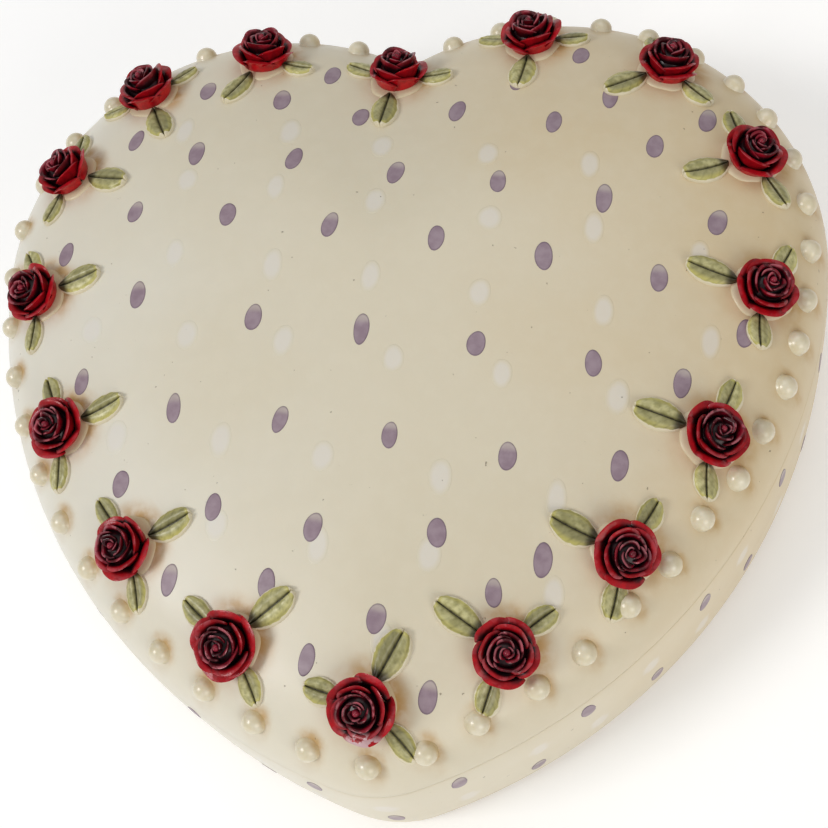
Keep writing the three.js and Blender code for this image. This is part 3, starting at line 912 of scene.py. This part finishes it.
def lid():
    line = Outline(count=600, even_at=5.0)
    level = lambda plan, z: np.c_[plan, np.broadcast_to(z, len(plan))]
    rim_z = SEAM_Z + SEAM_GAP / 2
    rim_inset = float(wall_inset(SEAM_Z)) + RIM_WIDTH
    edge_inset = float(wall_inset(rim_z))
    dome_edge = line.ring(DOME_INSET)
    domed = lambda share: dome_edge + (CROWN - dome_edge) * share
    under = lambda plan: level(plan, lid_top(plan[:, 0], plan[:, 1]) - LID_SKIN)
    over = lambda plan: level(plan, lid_top(plan[:, 0], plan[:, 1]))
    rings = [under(domed(share)) for share in np.linspace(0.985, 0, 20)]
    rings += [under(line.ring(inset)) for inset in (11, 9, 7, 5.5, 4.2)]
    rings += [level(line.ring(rim_inset), float(shoulder(rim_inset)) - LID_SKIN + 0.2)]
    rings += [level(line.ring(rim_inset), z) for z in (rim_z + 1.2, rim_z + 0.3)]
    rings += [level(line.ring(rim_inset - 0.15), rim_z), level(line.ring(edge_inset + 0.12), rim_z)]
    rings += [level(line.ring(edge_inset + 0.03), rim_z + 0.03), level(line.ring(edge_inset), rim_z + 0.1)]
    wall_top = 24  # the rings are spaced by height up to here, and by inset from here on
    for z in np.linspace(rim_z + 0.5, wall_top, 14):
        rings.append(level(line.ring(float(wall_inset(z))), z))
    start = float(wall_inset(wall_top))
    for t in np.linspace(0, 1, 32)[1:]:
        rings.append(over(line.ring(start + (DOME_INSET - start) * t ** 1.25)))
    rings += [over(domed(share)) for share in np.linspace(0, 0.99, 50)[1:]]
    points, faces = closed_skin(rings)
    outside = points[:, 2] > lid_top(points[:, 0], points[:, 1]) - 0.5 * LID_SKIN
    marks = {"wash_and_shadow": wash_and_shadow_round(points) * outside, "white": 0.0, "glaze_and_shade": glaze_and_shade_marks(points)}
    return joined([(points, faces, marks)] + [blot(x, y) for x, y in WHITES])


def bowl():
    line = Outline(count=560, even_at=3.0)
    level = lambda inset, z: np.c_[line.ring(inset), np.full(len(line.share), z)]
    rim_z = SEAM_Z - SEAM_GAP / 2
    lip_inset = float(wall_inset(SEAM_Z)) + RIM_WIDTH + 0.3
    recess_z = FOOT_Z + 0.9
    innermost = 14  # inset of the rings that the flat fans close
    rings = [level(innermost, recess_z), level(WALL + 0.2, recess_z)]
    rings += [level(WALL, recess_z - 0.2), level(WALL, FOOT_Z + 0.2)]
    rings += [level(WALL - 0.2, FOOT_Z), level(FOOT_INSET + 1.0, FOOT_Z)]
    rings += [level(FOOT_INSET + 0.45, FOOT_Z + 0.12)]
    for z in np.r_[FOOT_Z + 0.5, np.linspace(FOOT_Z + 1, rim_z - 0.5, 44), rim_z - 0.18]:
        rings.append(level(float(wall_inset(z)) + 0.25 * max(0, FOOT_Z + 1.0 - z), z))
    edge_inset = float(wall_inset(rim_z))
    rings += [level(edge_inset + 0.03, rim_z - 0.03), level(edge_inset + 0.12, rim_z)]
    rings += [level(lip_inset - 0.2, rim_z), level(lip_inset, rim_z + 0.2)]
    rings += [level(lip_inset, LIP_Z - 0.5), level(lip_inset + 0.15, LIP_Z - 0.15)]
    rings += [level(lip_inset + 0.5, LIP_Z), level(WALL - 0.4, LIP_Z), level(WALL - 0.05, LIP_Z - 0.3)]
    rings += [level(WALL + 0.02 * k, z) for k, z in enumerate(np.linspace(LIP_Z - 1, FLOOR_Z + 3, 12))]
    rings += [level(WALL + 0.3 + 1.8 * (1 - math.cos(a)), FLOOR_Z + 2.0 * (1 - math.sin(a)))
              for a in np.linspace(0, math.pi / 2, 8)]
    rings += [level(inset, FLOOR_Z) for inset in (9, innermost)]
    points, faces = closed_skin(rings)
    outside = (inset_of(points[:, 0], points[:, 1]) < 1.2).astype(float)
    white = np.zeros(len(points))
    length = 2 * line.half_length
    share = np.r_[np.tile(line.share, len(rings)), 0, 0]
    for spot, z in WALL_WHITES:
        along = ((share - spot + 0.5) % 1 - 0.5) * length
        away = np.hypot(along / 1.3, (points[:, 2] - z) / 1.9)
        white = np.maximum(white, smoothstep(1.15, 0.8, away) * outside)
    # A touch of painted shade just under the seam, and the wall darkens towards the foot.
    seam = np.exp(-np.clip(rim_z - points[:, 2], 0, None) / 0.35) * 0.1 * outside
    foot = smoothstep(3.0, 0.6, points[:, 2]) * 0.5 * outside
    marks = {"wash_and_shadow": np.maximum(seam, foot), "white": white, "glaze_and_shade": glaze_and_shade_marks(points)}
    return points, faces, marks


def felt(inset, low):
    """A felt cut to the heart, its edge slightly rounded."""
    line = Outline(count=400, even_at=5.0)
    level = lambda inset, z: np.c_[line.ring(inset), np.full(len(line.share), z)]
    edge = [(0.15, 0), (0, 0.2), (0, FELT - 0.35), (0.25, FELT - 0.05), (1.2, FELT)]
    profile = [(15.5, 0), (12.5, 0), *[(inset + d, z) for d, z in edge], (12.5, FELT), (15.5, FELT)]
    points, faces = closed_skin([level(d, low + z) for d, z in profile])
    return points, faces, {}


# ---- The box ----

piece("lid_cast", lid(), cream, "lid", ["lid_shell"])
piece("bowl_cast", bowl(), cream, "base", ["base_shell"])
piece("lining", felt(inset=WALL + 2.3, low=FLOOR_Z + 0.05), ivory, "base", ["base_felt"])
piece("foot_pad", felt(inset=WALL + 0.3, low=0.0), brown, "base", ["foot_felt"])
piece("lid_dots", lid_dots(), lavender, "lid")
piece("wall_dots", wall_dots(), lavender, "base")
for i, seat in enumerate(ROSES):
    number = f"{i + 1:02d}"
    piece(f"petals_{number}", rose(i, seat), enamel, "lid", [f"rose_{number}"])
    piece(f"spray_{number}", spray(i, seat), green, "lid", [f"rose_leaves_{number}"])
starts = [round(i * len(PEARLS) / STRANDS) for i in range(STRANDS + 1)]
for i in range(STRANDS):
    number = f"{i + 1:02d}"
    beads = [pearl(seat) for seat in PEARLS[starts[i]:starts[i + 1]]]
    piece(f"pearls_{number}", joined(beads), nacre, "lid", [f"pearl_strand_{number}"])


# ---- Floor, light and camera, in metres and degrees ----

FLOOR_REACH = 3.0
FLOOR_LEVEL = -0.00002  # just under the foot's felt, so that the two never lie in one plane
AZIMUTH = 23.1
ELEVATION = 64.6
ROLL = -22.45
DISTANCE = 0.2269
TARGET = Vector((0.0027, -0.0050, 0.020))
LENS = 71.27


def stage():
    mesh = bpy.data.meshes.new("floor")
    signs = ((-1, -1), (1, -1), (1, 1), (-1, 1))
    corners = [(x * FLOOR_REACH, y * FLOOR_REACH, FLOOR_LEVEL) for x, y in signs]
    mesh.from_pydata(corners, [], [(0, 1, 2, 3)])
    g = Graph("floor_paper", Roughness=0.9, Specular_IOR_Level=0.1)
    g.shader.inputs["Emission Color"].default_value = (1, 1, 1, 1)
    g.shader.inputs["Emission Strength"].default_value = 0.2
    mesh.materials.append(g.finish(g.mix(g.noise(40), (0.90, 0.90, 0.90), (0.92, 0.92, 0.92))))
    floor = bpy.data.objects.new("floor", mesh)
    bpy.context.scene.collection.objects.link(floor)
    floor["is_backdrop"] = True


def lamp(name, place, size, power, colour=(1, 1, 1)):
    light = bpy.data.lights.new(name, "AREA")
    light.size, light.energy, light.color = size, power, colour
    thing = bpy.data.objects.new(name, light)
    thing.location = place
    thing.rotation_euler = (TARGET - Vector(place)).to_track_quat("-Z", "Y").to_euler()
    bpy.context.scene.collection.objects.link(thing)


def light_and_camera():
    scene = bpy.context.scene
    scene.view_settings.view_transform = "Standard"
    world = bpy.data.worlds.new("studio")
    world.use_nodes = True
    world.node_tree.nodes["Background"].inputs["Color"].default_value = (1.0, 1.0, 1.0, 1.0)
    world.node_tree.nodes["Background"].inputs["Strength"].default_value = 0.4
    scene.world = world
    lamp("key", (-0.8, -0.35, 0.9), size=0.4, power=5.9, colour=(1.0, 0.99, 0.97))
    lamp("fill", (0.55, -0.75, 0.45), size=0.6, power=3.2, colour=(1.0, 0.96, 0.89))
    lamp("top", (0.0, 0.35, 0.8), size=0.6, power=1.1)
    az, el, roll = (math.radians(a) for a in (AZIMUTH, ELEVATION, ROLL))
    back = Vector((math.sin(az) * math.cos(el), -math.cos(az) * math.cos(el), math.sin(el)))
    right = Vector((math.cos(az), math.sin(az), 0))
    level_up = back.cross(right)
    across = math.cos(roll) * right + math.sin(roll) * level_up
    up = back.cross(across)
    data = bpy.data.cameras.new("camera")
    data.lens, data.sensor_width, data.clip_start = LENS, 36.0, 0.01
    camera = bpy.data.objects.new("camera", data)
    turned = Matrix((across, up, back)).transposed().to_4x4()
    camera.matrix_world = Matrix.Translation(TARGET + DISTANCE * back) @ turned
    scene.collection.objects.link(camera)
    scene.camera = camera


stage()
light_and_camera()
box = lambda b: [[float(v) for v in corner] for corner in b]
{"cad": box(CAD_BOX), "visual": box(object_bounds())}
